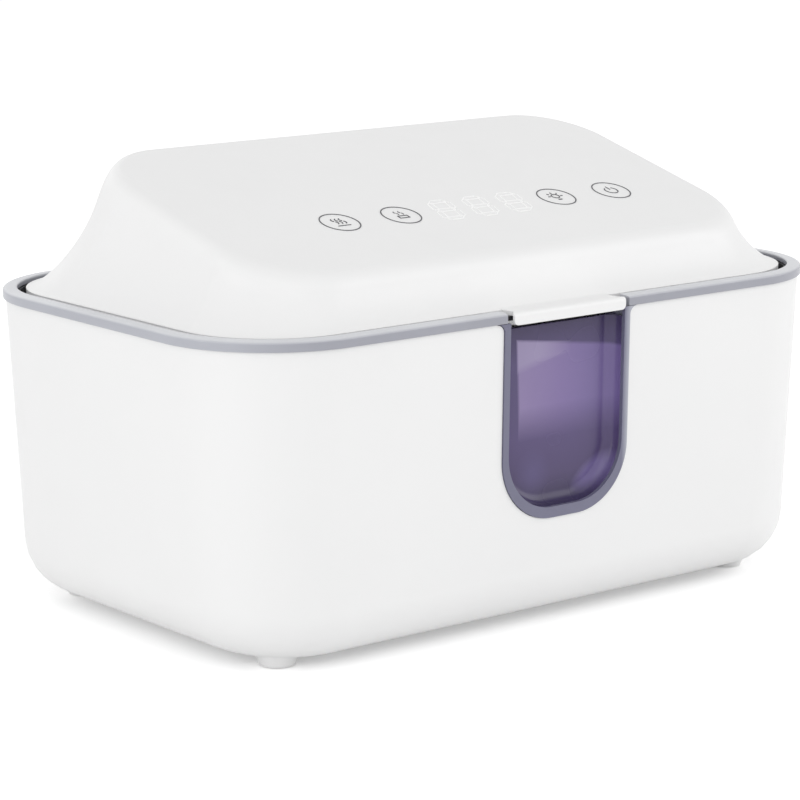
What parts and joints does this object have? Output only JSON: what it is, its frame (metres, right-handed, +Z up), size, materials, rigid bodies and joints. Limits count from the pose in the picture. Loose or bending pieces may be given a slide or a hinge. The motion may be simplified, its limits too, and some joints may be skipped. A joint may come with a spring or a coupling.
{
  "type": "baby wipe warmer",
  "caption": "Tapered white wipe warmer with a grey rim, a U-shaped purple window, a hinged sloping lid with touch controls, and a heated wipes tank inside.",
  "frame": {"origin": "on the table, under the middle of the object", "axes": "+Z up, +X to the right as seen from the front, the front with its window faces -Y"},
  "size_m": [0.23, 0.1452, 0.1345],
  "materials": {
    "white_housing": "satin white moulded plastic",
    "white_lid": "smooth white moulded plastic",
    "white_base": "fine-grained white plastic",
    "grey_trim": "satin grey plastic",
    "window_trim": "satin grey plastic",
    "purple_pane": "tinted clear plastic",
    "charcoal_tank": "dark matt plastic",
    "dark_seal": "soft rubber",
    "pale_seal": "silicone rubber",
    "feet_rubber": "matt rubber",
    "steel": "zinc-plated steel",
    "heater_aluminium": "rolled sheet",
    "amber_film": "polyimide film",
    "grey_foam": "closed-cell foam",
    "contact_foam": "conductive foam",
    "black_part": "moulded electronic parts",
    "fuse_ceramic": "glazed body",
    "green_board": "circuit board",
    "inlet_black": "moulded inlet",
    "display_black": "display housing",
    "lamp_strip": "lamp board",
    "black_lead": "insulated lead",
    "red_lead": "insulated lead",
    "yellow_lead": "insulated lead",
    "white_lead": "insulated lead",
    "print_grey": "printed ink",
    "print_white": "printed ink"
  },
  "bodies": {
    "base": {"housing": "white_housing", "base_plate": "white_base", "base_screws": "steel", "rubber_feet": "feet_rubber", "rim_collar": "grey_trim", "rim_bridge": "charcoal_tank", "window_bezel": "window_trim", "window_pane": "purple_pane", "window_seal": "dark_seal", "inner_tank": "charcoal_tank", "heater_plate": "heater_aluminium", "heater_film": "amber_film", "insulation_pad": "grey_foam", "thermistor": "black_part", "thermal_fuse": "fuse_ceramic", "main_board": "green_board", "board_parts": "black_part", "board_screws": "steel", "dc_inlet": "inlet_black", "inlet_nut": "steel", "power_lead": "black_lead", "heater_leads": "red_lead", "sensor_lead": "black_lead", "lamp_lead": "yellow_lead", "signal_lead": "white_lead", "night_light": "lamp_strip", "hinge_pins": "steel"},
    "lid": {"lid_shell": "white_lid", "lid_inner_panel": "white_base", "lid_seal": "pale_seal", "lid_screws": "steel", "touch_board": "green_board", "touch_contacts": "contact_foam", "touch_board_screws": "steel", "display_module": "display_black", "lid_lead": "white_lead", "touch_icons": "print_grey", "display_digits": "print_white"}
  },
  "joints": [
    {"name": "lid_hinge", "type": "hinge", "parent": "base", "child": "lid", "pos_m": [0, 0.0691, 0.097], "axis": [-1, 0, 0], "range_deg": [0, 95]}
  ]
}
